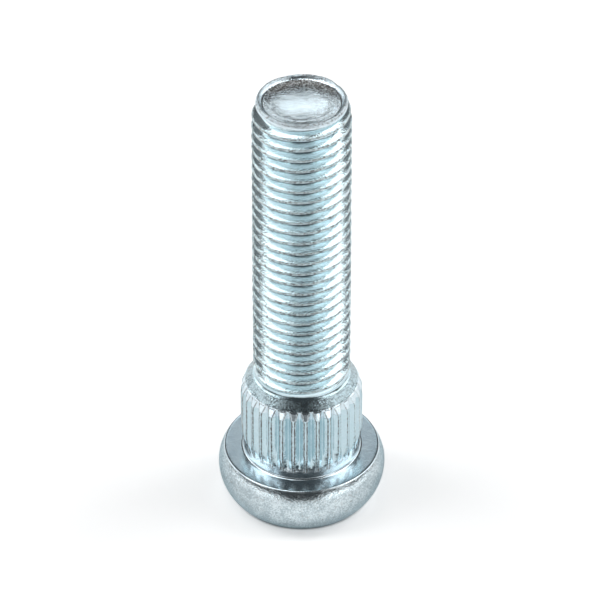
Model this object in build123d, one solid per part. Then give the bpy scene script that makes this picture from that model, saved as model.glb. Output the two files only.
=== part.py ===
"""Wheel stud: one forged, turned and rolled piece of steel, standing on its head.

Millimetres. Origin at the centre of the head's base, +Z along the axis towards the threaded tip.
"""
import os
from math import cos, radians, sin, tan

from build123d import *

# Head: a flat bearing face over a barrel-shaped side
HEAD_D = 20.5              # widest ring of the side, the belly
HEAD_H = 6.85              # base to bearing face
BELLY_Z = 4.4              # height of the belly above the base
FACE_D = 19.05             # flat of the bearing face, to its outer edge
BASE_D = 16.6              # flat of the base, to its edge
EDGE_BEVEL = 0.15          # edges of both flats, broken at 45 degrees

# Collar and knurl, heights stacked upwards from the bearing face
KNURL_D = 14.92            # over the tooth crests, the press-fit size
COLLAR_D = 14.3            # plain collar between head and teeth
COLLAR_FOOT = 0.5          # bevel between the bearing face and the collar
COLLAR_H = 1.45            # bearing face to the first trace of the teeth
CREST_RISE_H = 1.7         # crests climb from the collar to their full size
PRESS_H = 5.0              # crests at full size
LEAD_H = 1.0               # slight draw-in at the leading end of the crests
LEAD_IN = 0.08             # how far the crests draw in there, on the radius
CHAMFER_H = 0.97           # bevel that cuts each tooth to a point
TEETH = 31
TOOTH_LAND = 0.51          # width of a crest, along its arc
GROOVE_ANGLE = 84.0        # between the two flanks of a groove
GROOVE_ROOT_W = 0.1        # width of the groove's flat bottom
GROOVE_EXIT = 8.0          # slope on which a groove climbs out on to the collar, degrees
TOOTH_TURN = -86.3         # direction of the first crest, degrees from +X

# Shank and threaded end
CONE_H = 1.03              # rough cone from the knurl down to the neck's size
NECK_D = 11.46             # plain neck under the thread
NECK_H = 1.51
THREAD_RISE_H = 0.6        # the thread's last turn fades into the neck
THREAD_D = 11.86           # over the thread's crests
LENGTH = 58.6              # base of the head to the top of the lip
TIP_TAPER_H = 3.3          # drawn-in first turns under the lip
TIP_D = 10.9               # tip's outer edge, where the lip begins
LIP_D = 10.4               # outer edge of the lip's top
LIP_W = 0.28               # width of the lip's top
LIP_H = 0.43               # lip's top above the tip's outer edge
DISH_D = 9.4               # hollow end, inside the lip
DISH_WALL = 0.5            # height of the lip on the inside
DISH_DEPTH = 0.85          # middle of the hollow below the lip's top

knurl_r = KNURL_D / 2
collar_r = COLLAR_D / 2
neck_r = NECK_D / 2
thread_r = THREAD_D / 2

# Groove section: two flanks that leave the land between them, and a narrow flat bottom
half_angle = radians(GROOVE_ANGLE / 2)
gap_angle = radians(360 / TEETH) - TOOTH_LAND / knurl_r
mouth_half = knurl_r * sin(gap_angle / 2)
mouth_x = knurl_r * cos(gap_angle / 2)
root_half = GROOVE_ROOT_W / 2
root_x = mouth_x - (mouth_half - root_half) / tan(half_angle)

# Heights
collar_top = HEAD_H + COLLAR_H
crest_low = collar_top + CREST_RISE_H
crest_high = crest_low + PRESS_H
lead_top = crest_high + LEAD_H
cone_low = lead_top + CHAMFER_H
neck_low = cone_low + CONE_H
neck_high = neck_low + NECK_H
thread_low = neck_high + THREAD_RISE_H
tip_edge = LENGTH - LIP_H
thread_high = tip_edge - TIP_TAPER_H


def turned_body():
    """The whole stud as a turned blank, with the knurl at its crest size."""
    face_r = FACE_D / 2
    base_r = BASE_D / 2
    lip_r = LIP_D / 2
    tip = (TIP_D / 2, tip_edge)
    dish_edge = (DISH_D / 2, LENGTH - DISH_WALL)
    dish_middle = (0, LENGTH - DISH_DEPTH)
    belly = (HEAD_D / 2, BELLY_Z)
    low_bevel = (base_r + EDGE_BEVEL, EDGE_BEVEL)
    high_bevel = (face_r + EDGE_BEVEL, HEAD_H - EDGE_BEVEL)
    outline = [
        Polyline((0, 0), (base_r, 0), low_bevel),
        TangentArc(belly, low_bevel, tangent=(0, -1)),
        TangentArc(belly, high_bevel, tangent=(0, 1)),
        Polyline(
            high_bevel,
            (face_r, HEAD_H),
            (collar_r + COLLAR_FOOT, HEAD_H),
            (collar_r, HEAD_H + COLLAR_FOOT),
            (collar_r, collar_top),
            (knurl_r, crest_low),
            (knurl_r, crest_high),
            (knurl_r - LEAD_IN, lead_top),
            (root_x, cone_low),
            (neck_r, neck_low),
            (neck_r, neck_high),
            (thread_r, thread_low),
            (thread_r, thread_high),
        ),
        TangentArc((thread_r, thread_high), tip, tangent=(0, 1)),
        Polyline(tip, (lip_r, LENGTH), (lip_r - LIP_W, LENGTH), dish_edge),
        TangentArc(dish_middle, dish_edge, tangent=(1, 0)),
        Line(dish_middle, (0, 0)),
    ]
    return revolve(Plane.XZ * make_face(outline), Axis.Z)


def groove_tool():
    """One groove of the knurl: straight up the stud, climbing out on to the collar at its foot."""
    top = neck_low
    over = knurl_r + 1
    over_half = root_half + (over - root_x) * tan(half_angle)
    section = make_face(
        Polyline((root_x, root_half), (over, over_half), (over, -over_half), (root_x, -root_half), close=True)
    )
    slope = tan(radians(GROOVE_EXIT))
    bend_z = collar_top + (collar_r - root_x) / slope
    clear_x = collar_r + root_half / 2
    clear_z = bend_z - (clear_x - root_x) / slope
    path = Polyline((root_x, 0, top), (root_x, 0, bend_z), (clear_x, 0, clear_z))
    return sweep(Pos(0, 0, top) * section, path, transition=Transition.RIGHT)


def wheel_stud():
    """The turned blank with its knurl rolled in, one groove between each two teeth."""
    pitch = 360 / TEETH
    tool = groove_tool()
    grooves = [Rot(0, 0, TOOTH_TURN + pitch * (i + 0.5)) * tool for i in range(TEETH)]
    return turned_body() - grooves


stud = wheel_stud()
os.makedirs("parts", exist_ok=True)
export_step(stud, "parts/wheel_stud.step")
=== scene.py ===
"""The wheel stud as it looks: rolled thread, knurl, forged head and dished tip, in bright zinc plate.

The stud's sizes are in millimetres and become metres where the mesh is made. The floor's and the lamps' are
in metres. The skin is built from the base up in rings of points, four to a tooth on the turned surfaces and
sixteen on the knurl. The thread is a sheet that follows its helix.
"""
from math import atan2, cos, pi, radians, sin, sqrt, tan

import bmesh
import bpy
import numpy as np
from mathutils import Matrix, Vector, noise


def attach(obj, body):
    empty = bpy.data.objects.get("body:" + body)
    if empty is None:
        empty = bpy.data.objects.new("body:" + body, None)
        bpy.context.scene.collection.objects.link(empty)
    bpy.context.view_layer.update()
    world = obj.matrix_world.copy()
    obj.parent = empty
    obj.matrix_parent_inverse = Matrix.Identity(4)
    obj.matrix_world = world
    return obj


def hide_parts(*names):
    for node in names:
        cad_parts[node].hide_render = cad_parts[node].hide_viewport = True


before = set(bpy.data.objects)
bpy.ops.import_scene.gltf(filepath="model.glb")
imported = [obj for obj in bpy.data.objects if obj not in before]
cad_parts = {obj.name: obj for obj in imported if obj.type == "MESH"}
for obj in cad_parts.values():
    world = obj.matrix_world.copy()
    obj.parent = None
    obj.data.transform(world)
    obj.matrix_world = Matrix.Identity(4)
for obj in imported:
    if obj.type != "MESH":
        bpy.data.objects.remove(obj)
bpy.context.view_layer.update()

MM = 0.001
WELD = 1e-7                # points nearer than this become one, in metres
NOISE_DECAY, NOISE_STEP = 1.0, 2.0     # from one octave of the unevenness to the next

# Unevenness is given as its height and the size of its features, wear as a coarseness from 0 to about 3

# Head
BASE_R = 8.3               # flat of the base
BASE_RINGS = (3.0, 6.0, 8.05)          # radii on that flat
FACE_R = 9.42              # flat of the bearing face
FACE_RINGS, FACE_MARGIN, FOOT_MARGIN = 6, 0.3, 0.05    # and how far they keep from the face's two edges
BELLY = (10.25, 4.4)       # widest ring: radius, height
HEAD_H = 6.85
EDGE = 0.15                # broken edges of both flats
LOW_EDGE = ((-0.06, 0.0), (0.06, 0.03), (0.13, 0.1))       # base's edge: past its radius, above the base
HIGH_EDGE = ((0.1, -0.07), (0.02, -0.015), (-0.09, 0.0))   # face's edge: past its radius, above the face
LOW_SIDE_RINGS, HIGH_SIDE_RINGS = 18, 12       # below the belly and above it
SIDE_WEAR, SIDE_UNEVEN = 0.9, (0.02, 3.0)
EDGE_UNEVEN = (0.015, 1.5)

# Collar
COLLAR_R = 7.15
COLLAR_FOOT = 0.3          # hollow between the bearing face and the collar
FOOT_RINGS = 7
COLLAR_RINGS = (7.6, 7.8)  # heights
COLLAR_TOP = 8.3

# Knurl
TEETH = 31
TOOTH_PITCH = 2 * pi / TEETH
TOOTH_TURN = radians(-86.3)            # direction of the first crest
CREST_R = 7.46
CREST_LOW, CREST_HIGH = 10.0, 15.0     # where the crests have their full size
LEAD_TOP, LEAD_R = 16.0, 7.38          # crests draw in to here, then the bevel cuts them
CONE_LOW, CONE_R = 16.93, 7.02         # foot of the cone, at the tips of the grooves
ROOT_R = 6.87
GROOVE_SLOPE = tan(radians(42))        # sideways per radial millimetre of a flank
GROOVE_ROUND = 0.03        # softness of the groove's bottom
GROOVE_LEAST = 0.09        # half width that its points keep where it fades
GROOVE_TIP = 17.08         # where the grooves end on the cone
GROOVE_EXIT = 10.4         # height at which the grooves begin to climb out
EXIT_SLOPE = 0.13          # how steeply they do, radius per height
EXIT_SPREAD, EXIT_SEED = (-0.5, 0.6), 5        # how far GROOVE_EXIT varies from groove to groove
LAND_ROUND = 0.02          # how far the edge of a land is rounded down
KNURL_LOW = 7.9            # first row, still round
KNURLED_LOW = COLLAR_TOP + 0.3         # the knurl's own finish begins here
KNURL_ROWS = (             # lowest and highest height, and how many rows
    (KNURL_LOW, 10.1, 18), (10.45, CREST_HIGH, 14), (15.2, 15.95, 6), (LEAD_TOP, CONE_LOW, 12),
)
CONE_ROWS = (16.97, 17.02, GROOVE_TIP)

# Half a tooth: points as shares of the half land and then of the half groove, and the wear at each
LAND_STEPS = np.array([0.0, 0.35, 0.6, 1.0])
GROOVE_STEPS = np.array([0.05, 0.18, 0.8, 0.93, 1.0])
LAND_WEAR = (0.9, 1.1, 2.6, 3.0, 3.0, 0.4, 0.0, 0.0, 0.0)
BEVEL_WEAR = (0.0, 0.0, 0.3, 3.0, 3.0, 0.4, 0.0, 0.0, 0.0)
LIT_SIDE, LIT_SIDE_CALM = (0.2, 0.8), 0.45      # share to the right over which wear lessens, and by how much: painted light, fewer dark specks on the right side

# Torn feet of the teeth
TEAR_RISE, TEAR_FALL = (KNURL_LOW, 8.4), (8.8, 10.6)   # heights over which they come and go
TEAR_UNEVEN = (0.06, 0.3)
TEAR_STRETCH = 6           # how much longer than wide the tears are

# Cone and neck
CONE_START = GROOVE_TIP + 0.1          # first plain ring of the cone
CONE_RINGS = 9
CONE_FOOT_WEAR, CONE_WEAR, CONE_UNEVEN = 0.35, 0.6, (0.006, 0.4)
NECK_R = 5.62
NECK_LOW, NECK_FLARE = 18.08, 0.31     # foot of the neck, and how far it flares there
CONE_END = NECK_LOW - 0.05
NECK_RINGS, NECK_WEAR = 8, 0.3

# Thread: the sharp form's crest and root, and what rounds them
PITCH = 1.5
FLANK = radians(30)        # between a flank and a plane across the axis
THREAD_LOW, THREAD_HIGH = 18.6, 57.6   # ends of the threaded surface, run-outs included
THREAD_R, THREAD_ROOT_R = 5.93, 4.9
THREAD_START = 55.25       # height of a crest at the front
RUN_OUT = 0.75             # height over which the thread grows out of the neck
CREST_HALF = 0.06          # half width of the crest, in pitches
CREST_SOFT, ROOT_SOFT = 0.05, 0.3
ROUNDER_LOW, ROUNDER_HIGH = (25.0, 30.0), (40.5, 43.5)     # the root is rounder between these heights
ROUNDER_SOFT, ROUNDER_DEEP = 0.14, 0.09        # added there to the softness, and to the sharp form's depth
FLANK_WEAR, CREST_WEAR = 0.3, 1.8
WEAR_MIDDLE, WEAR_HALF = 0.015, 0.065  # place and half width of the crest's wear, in pitches
WEAR_FADE = 2.0            # half widths from its middle to where it ends
CREST_UNEVEN, CALM_END = (0.02, 0.35), 0.5     # fades out over this height at both ends
THREAD_STEPS = np.array([  # rows of one turn, in pitches from a crest
    -0.42, -0.3, -0.14, -0.1, -0.07, 0.0, 0.07, 0.1, 0.14, 0.22, 0.32, 0.38, 0.42, 0.45, 0.48, 0.52,
])
TURNS_BELOW, SPARE_TURNS = 2, 6        # more turns than the surface needs, cut off at its ends

# Tip
LENGTH = 58.6
TAPER_LOW, TAPER_POWER = 54.87, 3      # the crests draw in from here, ever faster
TIP_R, TIP_EDGE = 5.41, 58.17
TIP_FOOT = (               # share of the way from the thread to TIP_R, height
    (0.0, THREAD_HIGH), (0.12, 57.66), (0.4, 57.72), (0.75, 57.77), (1.0, 57.81),
)
DISH_R, DISH_EDGE, DISH_MIDDLE = 4.7, 58.1, 57.75
LIP = (                    # radius, height, how uneven
    (5.43, 57.88, 0.1), (5.44, 58.0, 0.3), (5.44, 58.1, 0.5), (5.43, 58.22, 0.8), (5.395, 58.36, 1.0),
    (5.33, 58.47, 1.0), (5.25, 58.56, 1.0), (5.15, 58.6, 1.0), (5.06, 58.58, 1.0), (4.98, 58.46, 0.8),
    (4.87, 58.28, 0.5), (DISH_R, DISH_EDGE, 0.2),
)
LIP_SINK = 0.07            # how far the uneven lip lies below that outline
LIP_SWELL = ((0.05, 2, 0.8), (0.03, 5, 2.0))   # waves round the lip: size, number, phase
SWELL_UP, SWELL_OUT = 0.8, 0.2
LIP_UNEVEN = (0.025, 0.4)
LIP_WEAR, LIP_EDGE_WEAR, LIP_WEAR_POWER = 0.4, 1.3, 4
DENT_TURN, DENT_WIDTH, DENT_DEPTH = radians(38), 0.09, 0.16

# Dish: shares are of DISH_R
DISH_SHARES = np.linspace(0.97, 0.03, 34)
DISH_SMOOTH, DISH_ROUGH, ROUGH_SHARES = 0.006, 0.02, (0.4, 0.85)
DISH_GRAIN, DISH_OCTAVES = 0.8, 4
DISH_TILT = 0.035          # how much lower the hollow is for each millimetre to the back
DISH_CALM = 0.2            # no unevenness at its edge, all of it this far in
DISH_WEAR, FRONT_WEAR, BACK_WEAR = 0.1, 0.7, 2.2
WORN_SHARES, BACK_SHARES = (0.45, 0.85), (0.1, 0.7)

# Zinc plate: scale, detail and roughness of its textures, and the part of each texture's range that is used
CLOUD, CLOUD_RANGE = (700.0, 4.0, 0.5), (0.3, 0.7)
BLOT, BLOT_RANGE = (5200.0, 4.0, 0.7), (0.25, 0.75)
PIT, PIT_RANGE = (2600.0, 5.0, 0.65), (0.6, 0.7)
SPECK, SPECK_TOP = (4400.0, 3.0, 0.5), 0.86
RELIEF_DETAIL, RELIEF_ROUGHNESS = 4.0, 0.6
WORST_WEAR = 3.0
SPECK_LOW = (0.8, 0.27)    # where specks begin in the texture's range, with no wear and with the worst
SPECK_FORCE = 2.0          # above 1, so that specks reach their full colour early
STAIN = (0.15, 0.145, 0.14)            # colour of specks and pits
ROUGH_SPREAD = (0.8, 1.2)  # shares of a finish's roughness at the two ends of the cloud
WEAR_DULLS = 0.08          # roughness that one unit of wear adds
SPECK_DEPTH = 0.12
STREAK_TURN = 0.5          # about the axis, for the texture of the fine bumps

# Floor
FLOOR_SIZE = 30
FLOOR_ALBEDO, FLOOR_ROUGHNESS, FLOOR_SPECULAR = 0.93, 0.9, 0.1
FLOOR_GLOW, FAR_GLOW = 0.36, 0.6       # how much of its white is its own, near the stud and far away
GLOW_REACH = (0.1, 0.6)
FRONT_GLOW, FRONT_REACH = 0.2, (-0.4, -0.1)    # less of it in front
UNDER_HEAD = (0.0083, 0.0087)          # none of it under the head

# Lamps
LAMPS = 2.5                # radiance of the main side lamps
LAMP_AIM = 0.03            # height that they face
LEFT, RIGHT = -0.8, 0.8
SIDE_LAMPS = {             # foot and top (x, z), near and far end y, radiance
    "left_box": ((LEFT, 0.5), (LEFT, 0.8), -0.38, 0.45, LAMPS),
    "left_front": ((LEFT, 0.64), (LEFT, 0.88), -0.8, -0.5, LAMPS),
    "left_roof": ((LEFT, 0.85), (-0.04, 1.2), -0.2, 0.26, 3.3),
    "left_side": ((LEFT, 0.16), (LEFT, 0.5), 0.15, 0.6, 2.0),
    "left_low": ((LEFT, 0.0), (LEFT, 0.08), -0.4, 0.15, 2.0),
    "left_mid": ((LEFT, 0.0), (LEFT, 0.14), -0.8, -0.4, 2.2),
    "left_fore": ((LEFT, 0.0), (LEFT, 0.22), -1.6, -0.8, 2.2),
    "left_far": ((LEFT, 0.3), (LEFT, 0.9), 0.6, 1.3, 0.12),
    "left_rear": ((LEFT, 0.0), (LEFT, 0.3), 0.6, 1.4, 1.2),
    "right_low": ((RIGHT, 0.0), (RIGHT, 0.08), -0.4, 0.15, 2.4),
    "right_mid": ((RIGHT, 0.0), (RIGHT, 0.14), -0.8, -0.4, LAMPS),
    "right_fore": ((RIGHT, 0.0), (RIGHT, 0.26), -1.6, -0.8, LAMPS),
    "right_glow": ((RIGHT, 0.07), (RIGHT, 0.3), -0.9, -0.4, 0.8),
    "right_box": ((RIGHT, 0.5), (RIGHT, 0.8), -0.5, 0.45, LAMPS),
    "right_front": ((RIGHT, 0.64), (RIGHT, 0.88), -0.8, -0.5, LAMPS),
    "right_roof": ((RIGHT, 0.85), (0.38, 1.2), -0.12, 0.38, 3.6),
    "right_side": ((RIGHT, 0.16), (RIGHT, 0.5), 0.15, 0.6, 2.0),
    "right_far": ((RIGHT, 0.3), (RIGHT, 0.9), 0.6, 1.3, 0.12),
    "right_rear": ((RIGHT, 0.0), (RIGHT, 0.3), 0.6, 1.4, 1.2),
}
BACK_LEFT, BACK_RIGHT, BACK_DEPTH = -0.24, 0.18, 1.2
BACK_TINT = (0.86, 0.95, 1.0)
BACK_LAMPS = {             # low and high end z, radiance
    "back_low": (0.57, 0.88, 1.75),
    "back_high": (0.88, 1.02, 0.5),
}
WORLD = (0.06, 0.0625, 0.065)

# Camera, in millimetres: a long lens at the photograph's angle
SENSOR, FOCAL_LENGTH = 36.0, 291.38
CAMERA_LIFT = radians(37.35)
CAMERA_REACH = 585.53      # from the point that it looks at
AIM_X, AIM_Z = -0.2, 29.0

# Finishes, in the order of the mesh's materials
FORGED, TURNED, KNURLED_AND_NECK_SHADE, ROLLED, ROUGH_AND_SHADE, DISHED_AND_LIT = range(6)


def ease(x, low, high):
    """0 below low, 1 above high, with a soft passage between."""
    t = np.clip((x - low) / (high - low), 0, 1)
    return t * t * (3 - 2 * t)


def above_zero(x, soft):
    """x where it is well above 0 and 0 where it is well below, with a round passage between."""
    return (x + np.sqrt(x ** 2 + soft ** 2)) / 2


def places(turn, radius, height):
    """One point for each direction, at a radius and a height that may differ from point to point."""
    radius, height = (np.broadcast_to(v, turn.shape) for v in (radius, height))
    return np.stack([radius * np.cos(turn), radius * np.sin(turn), height], axis=1)


def grain(points, size, octaves=3):
    """Smooth noise of about -1 to 1 at each point, with features of the given size."""
    return np.array([noise.fractal(Vector(p) / size, NOISE_DECAY, NOISE_STEP, octaves) for p in points])


class Skin:
    """Rings of points, joined one to the next, with a finish for each face and a wear for each point."""

    def __init__(self):
        self.points, self.coarse, self.faces, self.finishes = [], [], [], []
        self.count = 0

    def ring(self, turn, radius, height, coarse=0.0):
        self.points.append(places(turn, radius, height))
        self.coarse.append(np.broadcast_to(coarse, turn.shape))
        self.count += len(turn)
        return np.arange(self.count - len(turn), self.count)

    def face(self, corners, finish):
        self.faces.append(corners)
        self.finishes.append(finish)

    def join(self, low, high, finish):
        for a, b, c, d in zip(low, np.roll(low, -1), np.roll(high, -1), high):
            self.face((a, b, c, d), finish)

    def widen(self, sparse, dense, finish, upward):
        """Joins a ring to one with four times its points, which lies above it or below it."""
        step = len(dense) // len(sparse)
        for i, (a, b) in enumerate(zip(sparse, np.roll(sparse, -1))):
            m = [dense[(step * i + j) % len(dense)] for j in range(step + 1)]
            fan = [(a, m[1], m[0]), (a, m[2], m[1]), (a, b, m[2]), (b, m[3], m[2]), (b, m[4], m[3])]
            for corners in fan:
                self.face(corners if upward else corners[::-1], finish)

    def close(self, ring, height, finish, upward, coarse=0.0):
        self.points.append(np.array([[0, 0, height]]))
        self.coarse.append(np.array([coarse]))
        middle = self.count
        self.count += 1
        for a, b in zip(ring, np.roll(ring, -1)):
            self.face((a, b, middle) if upward else (b, a, middle), finish)


RING_POINTS = 4 * TEETH
around = TOOTH_TURN + np.arange(RING_POINTS) * 2 * pi / RING_POINTS
skin = Skin()


def arc(start, end, count):
    """Points from start to end on the circle that leaves start straight up or down."""
    rise, inset = end[1] - start[1], start[0] - end[0]
    size = (rise * rise + inset * inset) / (2 * inset)
    turns = np.linspace(0, atan2(abs(rise), size - inset), count)
    side = 1 if rise > 0 else -1
    return [(start[0] - size + size * cos(t), start[1] + side * size * sin(t)) for t in turns]


def lathe(ring, outline, finish, coarse=0.0, uneven=None):
    """Adds one ring for each (radius, height) of an outline, each joined to the ring before it."""
    for radius, height in outline:
        if uneven is not None:
            lift, size = uneven
            radius = radius + lift * grain(places(around, radius, height), size)
        new = skin.ring(around, radius, height, coarse)
        if ring is not None:
            skin.join(ring, new, finish)
        ring = new
    return ring


def head():
    """Base, barrel-shaped side, bearing face and the collar's plain foot, up to the knurl."""
    ring = lathe(None, [(r, 0.0) for r in BASE_RINGS], FORGED)
    first = np.arange(RING_POINTS)
    skin.close(first, 0.0, FORGED, upward=False)
    ring = lathe(ring, [(BASE_R + past, above) for past, above in LOW_EDGE], FORGED)
    low_side = arc(BELLY, (BASE_R + EDGE, EDGE), LOW_SIDE_RINGS)[::-1]
    high_side = arc(BELLY, (FACE_R + EDGE, HEAD_H - EDGE), HIGH_SIDE_RINGS)[1:]
    ring = lathe(ring, low_side + high_side, FORGED, SIDE_WEAR, SIDE_UNEVEN)
    high_edge = [(FACE_R + past, HEAD_H + above) for past, above in HIGH_EDGE]
    ring = lathe(ring, high_edge, TURNED, uneven=EDGE_UNEVEN)
    foot_r = COLLAR_R + COLLAR_FOOT
    face = np.linspace(FACE_R - FACE_MARGIN, foot_r + FOOT_MARGIN, FACE_RINGS)
    ring = lathe(ring, [(r, HEAD_H) for r in face], TURNED)
    hollow = [(foot_r - COLLAR_FOOT * sin(t), HEAD_H + COLLAR_FOOT * (1 - cos(t)))
              for t in np.linspace(0, pi / 2, FOOT_RINGS)]
    return lathe(ring, hollow + [(COLLAR_R, z) for z in COLLAR_RINGS], TURNED)


def crest_radius(z):
    """Radius over the teeth, from the collar to the cone."""
    heights = [KNURL_LOW, COLLAR_TOP, CREST_LOW, CREST_HIGH, LEAD_TOP, CONE_LOW, NECK_LOW]
    return np.interp(z, heights, [COLLAR_R, COLLAR_R, CREST_R, CREST_R, LEAD_R, CONE_R, NECK_R + NECK_FLARE])


def half_tooth(z, crest, exit_z):
    """Directions and radii from the middle of a tooth's land to the bottom of the groove beside it."""
    bevelled = z >= LEAD_TOP
    deep = max(crest - ROOT_R, 0.0) if bevelled else CREST_R - ROOT_R
    mouth = GROOVE_SLOPE * sqrt((deep + GROOVE_ROUND) ** 2 - GROOVE_ROUND ** 2)
    gap = max(mouth, GROOVE_LEAST) / crest
    land = TOOTH_PITCH / 2 - gap
    offsets = np.concatenate([LAND_STEPS * land, land + GROOVE_STEPS * gap])
    across = (TOOTH_PITCH / 2 - offsets) * crest
    groove = np.sqrt((across / GROOVE_SLOPE) ** 2 + GROOVE_ROUND ** 2) - GROOVE_ROUND
    root = min(crest, ROOT_R + max(0.0, exit_z - z) * EXIT_SLOPE)
    radii = np.minimum(crest, root + groove * (1.0 if bevelled else (crest - root) / deep))
    radii[len(LAND_STEPS) - 1] -= LAND_ROUND
    return offsets, radii


def half_wear_and_side_light(z, turn):
    """Wear from the middle of a tooth's land to the bottom of the groove beside it, lessened on the right
    side as painted light.
    """
    if z > CONE_LOW:
        wear = np.full(len(LAND_WEAR), CONE_FOOT_WEAR)
    else:
        wear = np.array(BEVEL_WEAR if z >= LEAD_TOP else LAND_WEAR)
    # Less wear on the right side is painted light: fewer dark specks there.
    return (1 - LIT_SIDE_CALM * ease(cos(turn), *LIT_SIDE)) * wear


def there_and_back(half):
    """Values of half a tooth, then the same backwards up to the next tooth's first."""
    return np.concatenate([half, half[-2:0:-1]])


def knurl(ring):
    """The teeth: crests of the turned body with a groove rolled in between each two."""
    exits = GROOVE_EXIT + np.random.default_rng(EXIT_SEED).uniform(*EXIT_SPREAD, TEETH)
    middles = TOOTH_TURN + np.arange(TEETH) * TOOTH_PITCH
    for z in np.concatenate([*(np.linspace(*rows) for rows in KNURL_ROWS), CONE_ROWS]):
        crest = crest_radius(z)
        turns, radii, wear = [], [], []
        for middle, exit_z in zip(middles, exits):
            offsets, half = half_tooth(z, crest, exit_z)
            turns.append(middle + np.concatenate([offsets, TOOTH_PITCH - offsets[-2:0:-1]]))
            radii.append(there_and_back(half))
            wear.append(there_and_back(half_wear_and_side_light(z, middle)))
        turns, radii, wear = (np.concatenate(parts) for parts in (turns, radii, wear))
        torn = ease(z, *TEAR_RISE) * (1 - ease(z, *TEAR_FALL))
        if torn > 0:
            lift, size = TEAR_UNEVEN
            radii = radii + lift * torn * grain(places(turns, radii, z / TEAR_STRETCH), size)
        new = skin.ring(turns, radii, z, wear)
        if len(ring) == RING_POINTS:
            skin.widen(ring, new, TURNED, upward=True)
        else:
            skin.join(ring, new, KNURLED_AND_NECK_SHADE if KNURLED_LOW <= z <= LEAD_TOP else TURNED)
        ring = new
    return ring


def shoulder(ring):
    """The rough cone over the grooves and the plain neck above it, which takes the knurl's darker plate as
    painted shade.
    """
    slope = (CONE_R - (NECK_R + NECK_FLARE)) / (NECK_LOW - CONE_LOW)
    cone = [(CONE_R - slope * (z - CONE_LOW), z) for z in np.linspace(CONE_START, CONE_END, CONE_RINGS)]
    above = skin.ring(around, *cone[0], CONE_FOOT_WEAR)
    # The cone's dark plate is partly painted shade.
    skin.widen(above, ring, ROUGH_AND_SHADE, upward=False)
    ring = lathe(above, cone[1:], ROUGH_AND_SHADE, CONE_WEAR, CONE_UNEVEN)
    neck = [(NECK_R + NECK_FLARE * (1 - t) ** 2, NECK_LOW + (THREAD_LOW - NECK_LOW) * t)
            for t in np.linspace(0, 1, NECK_RINGS)]
    # The plain neck takes the knurl's darker plate: painted shade.
    lathe(ring, neck, KNURLED_AND_NECK_SHADE, NECK_WEAR)


def tip_taper(z):
    """Radius over the crests, drawn in towards the tip."""
    share = np.clip((z - TAPER_LOW) / (TIP_EDGE - TAPER_LOW), 0, 1)
    return THREAD_R - (THREAD_R - TIP_R) * share ** TAPER_POWER


def thread_surface(turn, z):
    """Radius of the threaded surface, and its wear, at a direction and a height."""
    x = (z - THREAD_START) / PITCH - (turn + pi / 2) / (2 * pi)
    x = x - np.round(x)
    rounder = ease(z, *ROUNDER_LOW) * (1 - ease(z, *ROUNDER_HIGH))
    full = THREAD_R - THREAD_ROOT_R + ROUNDER_DEEP * rounder
    drop = above_zero((np.abs(x) - CREST_HALF) * PITCH / tan(FLANK), CREST_SOFT)
    depth = full - above_zero(full - drop, ROOT_SOFT + ROUNDER_SOFT * rounder)
    start = ease(z, THREAD_LOW, THREAD_LOW + RUN_OUT)
    body = NECK_R + (THREAD_R - depth - NECK_R) * start
    body = np.maximum(body - (THREAD_R - tip_taper(z)), THREAD_ROOT_R)
    worn = CREST_WEAR * np.clip(WEAR_FADE - np.abs(x - WEAR_MIDDLE) / WEAR_HALF, 0, 1) * start
    return body, FLANK_WEAR + worn


def thread():
    """A sheet whose rows follow the helix. It is cut off level at both ends, where its rows end on a ring."""
    per_turn = len(THREAD_STEPS)
    first = int((THREAD_LOW - THREAD_START) // PITCH) - TURNS_BELOW
    turns = int((THREAD_HIGH - THREAD_LOW) / PITCH) + SPARE_TURNS
    rows = np.concatenate([THREAD_START + PITCH * (first + n + THREAD_STEPS) for n in range(turns)])
    start = PITCH * (around[0] + pi / 2) / (2 * pi)
    lift, size = CREST_UNEVEN
    sheet = []
    for row in rows:
        z = np.clip(row + start + PITCH * np.arange(RING_POINTS) / RING_POINTS, THREAD_LOW, THREAD_HIGH)
        r, wear = thread_surface(around, z)
        risen = ease(z, THREAD_LOW, THREAD_LOW + CALM_END)
        ended = ease(z, THREAD_HIGH - CALM_END, THREAD_HIGH)
        r = r + lift * grain(places(around, r, z), size) * wear * (risen * (1 - ended))
        sheet.append(skin.ring(around, r, z, wear))
    for k in range(len(rows) - per_turn - 1):
        low, high = sheet[k], sheet[k + 1]
        right_low = np.append(low[1:], sheet[k + per_turn][0])
        right_high = np.append(high[1:], sheet[k + per_turn + 1][0])
        for a, b, c, d in zip(low, right_low, right_high, high):
            skin.face((a, b, c, d), ROLLED)


def lip():
    """The end of the thread and the uneven lip that rolling leaves round it."""
    thread_end = thread_surface(around, np.full(RING_POINTS, THREAD_HIGH))[0]
    ring = None
    for share, height in TIP_FOOT:
        new = skin.ring(around, thread_end + (TIP_R - thread_end) * share, height, FLANK_WEAR)
        if ring is not None:
            skin.join(ring, new, ROLLED)
        ring = new
    swell = sum(size * np.sin(number * around + phase) for size, number, phase in LIP_SWELL)
    dent = np.exp(-((around - DENT_TURN) / DENT_WIDTH) ** 2)
    lift, size = LIP_UNEVEN
    for radius, height, share in LIP:
        nick = lift * grain(places(around, radius, height), size) * share
        z = height - share * (LIP_SINK - swell * SWELL_UP) - DENT_DEPTH * dent * share + nick
        r = radius + SWELL_OUT * swell * share + nick
        wear = LIP_WEAR + LIP_EDGE_WEAR * share ** LIP_WEAR_POWER
        new = skin.ring(around, r, np.minimum(z, LENGTH), wear)
        skin.join(ring, new, TURNED)
        ring = new
    return ring


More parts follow.
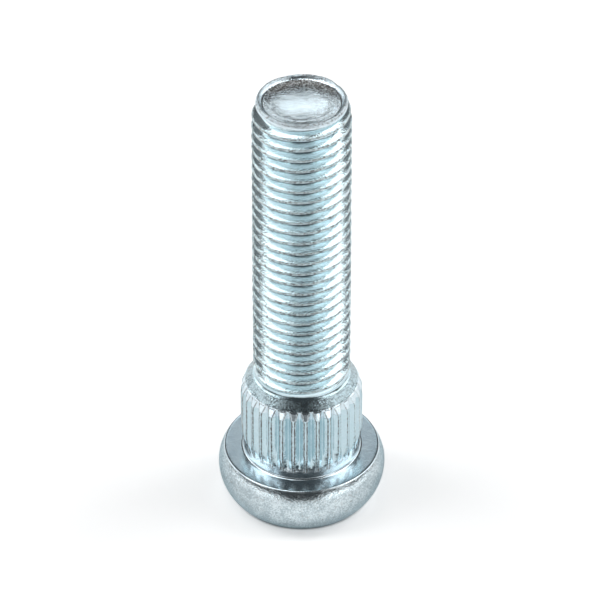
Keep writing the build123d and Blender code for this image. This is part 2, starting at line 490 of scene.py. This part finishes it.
def dish(ring):
    """The hollow inside the lip, torn at its rim and most of all at the back. Its pale plate is painted
    light.
    """
    for share in DISH_SHARES:
        radius = DISH_R * share
        z = DISH_MIDDLE + (DISH_EDGE - DISH_MIDDLE) * share ** 2
        spots = places(around, radius, z)
        lift = DISH_SMOOTH + DISH_ROUGH * ease(share, *ROUGH_SHARES)
        rough = lift * grain(spots, DISH_GRAIN, DISH_OCTAVES)
        z = z + (rough - DISH_TILT * spots[:, 1]) * ease(1 - share, 0.0, DISH_CALM)
        torn = FRONT_WEAR + BACK_WEAR * ease(spots[:, 1] / DISH_R, *BACK_SHARES)
        new = skin.ring(around, radius, z, DISH_WEAR + torn * ease(share, *WORN_SHARES))
        skin.join(ring, new, DISHED_AND_LIT)
        ring = new
    skin.close(ring, DISH_MIDDLE, DISHED_AND_LIT, upward=True, coarse=DISH_WEAR)


def stud_mesh():
    """All the rings as one welded mesh."""
    shoulder(knurl(head()))
    thread()
    dish(lip())
    mesh = bpy.data.meshes.new("wheel_stud_skin")
    points = np.concatenate(skin.points) * MM
    mesh.from_pydata(points.tolist(), [], [[int(i) for i in f] for f in skin.faces])
    mesh.polygons.foreach_set("material_index", skin.finishes)
    mesh.polygons.foreach_set("use_smooth", [True] * len(mesh.polygons))
    mesh.attributes.new("coarse", "FLOAT", "POINT").data.foreach_set("value", np.concatenate(skin.coarse))
    work = bmesh.new()
    work.from_mesh(mesh)
    bmesh.ops.remove_doubles(work, verts=work.verts, dist=WELD)
    bmesh.ops.dissolve_degenerate(work, edges=work.edges, dist=WELD)
    work.to_mesh(mesh)
    work.free()
    return mesh


def add(tree, kind, links=None, **values):
    """A node with its inputs set by value or linked from other nodes' outputs."""
    made = tree.nodes.new(kind)
    for name, value in values.items():
        setattr(made, name, value)
    for name, value in (links or {}).items():
        if isinstance(value, bpy.types.NodeSocket):
            tree.links.new(value, made.inputs[name])
        else:
            made.inputs[name].default_value = value
    return made


def combine(tree, operation, *inputs):
    """A sum or another operation on values."""
    return add(tree, "ShaderNodeMath", dict(enumerate(inputs)), operation=operation).outputs[0]


def remap(tree, value, source, target):
    """A value carried over from one range to another, each given by its two ends, where it stops."""
    ends = {"From Min": source[0], "From Max": source[1], "To Min": target[0], "To Max": target[1]}
    return add(tree, "ShaderNodeMapRange", {"Value": value, **ends}).outputs["Result"]


def texture(tree, spot, scale, detail, roughness):
    """Noise of 0 to 1, with scale features to a metre."""
    settings = {"Vector": spot, "Scale": scale, "Detail": detail, "Roughness": roughness}
    return add(tree, "ShaderNodeTexNoise", settings).outputs["Fac"]


def zinc(name, deep, pale, rough, relief, pits=0.0, streak=1.0, grit=0.8, mottle=0.4, rim=(1.0, 1.0, 1.0)):
    """Bright zinc plate between two bluish tones. Worn places are grainier, duller and speckled dark.

    relief is the size and depth of the fine bumps, and streak draws them out along X. pits adds dark spots,
    grit is how rugged wear is, mottle how uneven the tone is, and rim tints what is seen at a glancing angle.
    """
    material = bpy.data.materials.new(name)
    material.use_nodes = True
    tree = material.node_tree
    shader = tree.nodes["Principled BSDF"]
    spot = add(tree, "ShaderNodeTexCoord").outputs["Object"]
    coarse = add(tree, "ShaderNodeAttribute", attribute_name="coarse").outputs["Fac"]
    cloud = texture(tree, spot, *CLOUD)
    speck = texture(tree, spot, *SPECK)

    speck_low = remap(tree, coarse, (0.0, WORST_WEAR), SPECK_LOW)
    dark = remap(tree, speck, (speck_low, SPECK_TOP), (0.0, SPECK_FORCE))
    if pits:
        hole = remap(tree, texture(tree, spot, *PIT), PIT_RANGE, (0.0, pits))
        dark = combine(tree, "MAXIMUM", dark, hole)
    blot = remap(tree, texture(tree, spot, *BLOT), BLOT_RANGE, (-mottle, mottle))
    tone = add(tree, "ShaderNodeValToRGB", {"Fac": combine(tree, "ADD", cloud, blot)})
    for stop, place, shade in zip(tone.color_ramp.elements, CLOUD_RANGE, (deep, pale)):
        stop.position, stop.color = place, (*shade, 1)
    shades = {0: dark, 6: tone.outputs["Color"], 7: (*STAIN, 1)}
    color = add(tree, "ShaderNodeMix", shades, data_type="RGBA").outputs[2]
    tree.links.new(color, shader.inputs["Base Color"])

    dull = remap(tree, cloud, CLOUD_RANGE, [rough * share for share in ROUGH_SPREAD])
    tree.links.new(combine(tree, "MULTIPLY_ADD", coarse, WEAR_DULLS, dull), shader.inputs["Roughness"])

    size, depth = relief
    drawn_out = {"Vector": spot, "Rotation": (0, 0, STREAK_TURN), "Scale": (1, streak, 1)}
    drawn_out = add(tree, "ShaderNodeMapping", drawn_out).outputs["Vector"]
    fine = texture(tree, drawn_out, 1.0 / (size * MM), RELIEF_DETAIL, RELIEF_ROUGHNESS)
    soft = add(tree, "ShaderNodeBump", {"Height": fine, "Distance": depth * MM, "Strength": 1.0})
    force = combine(tree, "MULTIPLY", coarse, grit)
    hard = add(tree, "ShaderNodeBump", {"Height": speck, "Distance": SPECK_DEPTH * MM, "Strength": force,
                                        "Normal": soft.outputs["Normal"]})
    tree.links.new(hard.outputs["Normal"], shader.inputs["Normal"])

    shader.inputs["Metallic"].default_value = 1.0
    shader.inputs["Specular Tint"].default_value = (*rim, 1)
    return material


def finishes():
    """The plate as it lies on each kind of surface, in the order of the finishes' numbers. Some tones also
    hold painted light and shade: the dish's pale plate, part of the cone's dark one and the knurl's plate on
    the neck.
    """
    return (
        zinc("zinc_forged", (0.38, 0.46, 0.495), (0.635, 0.71, 0.74), rough=0.12, relief=(0.3, 0.02),
             pits=0.7, grit=0.25, mottle=0.9, rim=(0.52, 0.6, 0.63)),
        zinc("zinc_turned", (0.595, 0.70, 0.755), (0.675, 0.765, 0.81), rough=0.22, relief=(0.6, 0.008)),
        # The knurl's plate. On the plain neck its darker tone is painted shade.
        zinc("zinc_knurled_and_neck_shade", (0.46, 0.60, 0.65), (0.53, 0.655, 0.705), rough=0.16, relief=(0.3, 0.006)),
        zinc("zinc_rolled", (0.605, 0.745, 0.79), (0.67, 0.795, 0.835), rough=0.14, relief=(0.3, 0.006),
             mottle=0.2),
        # The cone's plate: its dark tone is partly the rough forged surface, partly painted shade.
        zinc("zinc_rough_and_shade", (0.19, 0.245, 0.265), (0.51, 0.64, 0.69), rough=0.23, relief=(0.25, 0.012),
             pits=0.9, mottle=1.2),
        # The dish's plate, paler than the plate elsewhere: painted light on the hollow.
        zinc("zinc_dished_painted_light", (0.70, 0.755, 0.775), (0.80, 0.84, 0.855), rough=0.1, relief=(0.2, 0.013),
             streak=2.5, grit=0.35),
    )


def white_floor():
    """A plain white floor. Part of its white is its own, as the camera and reflections see it."""
    bpy.ops.mesh.primitive_plane_add(size=FLOOR_SIZE)
    floor = bpy.context.object
    floor.name = "floor"
    white = bpy.data.materials.new("floor_white")
    white.use_nodes = True
    tree = white.node_tree
    shader = tree.nodes["Principled BSDF"]
    shader.inputs["Base Color"].default_value = (FLOOR_ALBEDO, FLOOR_ALBEDO, FLOOR_ALBEDO, 1)
    shader.inputs["Roughness"].default_value = FLOOR_ROUGHNESS
    shader.inputs["Specular IOR Level"].default_value = FLOOR_SPECULAR
    path = add(tree, "ShaderNodeLightPath").outputs
    seen = combine(tree, "MAXIMUM", path["Is Camera Ray"], path["Is Glossy Ray"])
    seen = combine(tree, "MAXIMUM", seen, path["Is Transmission Ray"])
    spot = add(tree, "ShaderNodeTexCoord").outputs["Object"]
    away = add(tree, "ShaderNodeVectorMath", {0: spot}, operation="LENGTH").outputs["Value"]
    depth = add(tree, "ShaderNodeSeparateXYZ", {"Vector": spot}).outputs["Y"]
    share = remap(tree, away, GLOW_REACH, (FLOOR_GLOW, FAR_GLOW))
    share = combine(tree, "MULTIPLY", share, remap(tree, depth, FRONT_REACH, (FRONT_GLOW, 1.0)))
    share = combine(tree, "MULTIPLY", share, remap(tree, away, UNDER_HEAD, (0.0, 1.0)))
    tree.links.new(combine(tree, "MULTIPLY", seen, share), shader.inputs["Emission Strength"])
    shader.inputs["Emission Color"].default_value = (1, 1, 1, 1)
    floor.data.materials.append(white)


def soft_lamp(name, width, height, radiance, color=(1, 1, 1)):
    """A rectangular lamp that the camera doesn't see."""
    lamp = bpy.data.lights.new(name, "AREA")
    lamp.shape = "RECTANGLE"
    lamp.size, lamp.size_y = width, height
    lamp.energy = radiance * pi * lamp.size * lamp.size_y
    lamp.color = color
    holder = bpy.data.objects.new(name, lamp)
    holder.visible_camera = False
    bpy.context.collection.objects.link(holder)
    return holder


def side_lamp(name, foot, top, near, far, radiance):
    """A lamp that runs from a foot to a top, both (x, z), and between two depths y, and faces the stud."""
    along = Vector((top[0] - foot[0], 0, top[1] - foot[1]))
    middle = Vector(((foot[0] + top[0]) / 2, (near + far) / 2, (foot[1] + top[1]) / 2))
    inward = Vector((-middle.x, 0, LAMP_AIM - middle.z))
    back = -(inward - along * (inward.dot(along) / along.length_squared)).normalized()
    up = along.normalized()
    across = Vector((0, 1, 0))
    if across.cross(up).dot(back) < 0:
        across = -across
    turned = Matrix((across, up, back)).transposed().to_4x4()
    turned.translation = middle
    soft_lamp(name, far - near, along.length, radiance).matrix_world = turned


def back_lamp(name, low, high, radiance):
    """An upright lamp behind the stud."""
    holder = soft_lamp(name, BACK_RIGHT - BACK_LEFT, high - low, radiance, BACK_TINT)
    holder.location = ((BACK_LEFT + BACK_RIGHT) / 2, BACK_DEPTH, (low + high) / 2)
    holder.rotation_euler = (-pi / 2, 0, 0)


def studio():
    """White floor, soft lamps at both sides, overhead and behind, and a dim grey world."""
    white_floor()
    for name, place in SIDE_LAMPS.items():
        side_lamp(name, *place)
    for name, place in BACK_LAMPS.items():
        back_lamp(name, *place)
    world = bpy.context.scene.world or bpy.data.worlds.new("studio")
    bpy.context.scene.world = world
    world.use_nodes = True
    sky = world.node_tree.nodes["Background"]
    sky.inputs["Color"].default_value = (*WORLD, 1)
    sky.inputs["Strength"].default_value = 1.0


def camera():
    """In front of the stud and above it, level from left to right."""
    lens = bpy.data.cameras.new("camera")
    lens.sensor_width = SENSOR
    lens.lens = FOCAL_LENGTH
    holder = bpy.data.objects.new("camera", lens)
    away, up = CAMERA_REACH * cos(CAMERA_LIFT), CAMERA_REACH * sin(CAMERA_LIFT)
    holder.location = Vector((AIM_X, -away, AIM_Z + up)) * MM
    holder.rotation_euler = (pi / 2 - CAMERA_LIFT, 0, 0)
    bpy.context.collection.objects.link(holder)
    bpy.context.scene.camera = holder


stud = bpy.data.objects.new("wheel_stud_skin", stud_mesh())
bpy.context.collection.objects.link(stud)
for finish in finishes():
    stud.data.materials.append(finish)
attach(stud, "root")
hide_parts("wheel_stud")

studio()
camera()
bpy.context.scene.view_settings.view_transform = "Standard"
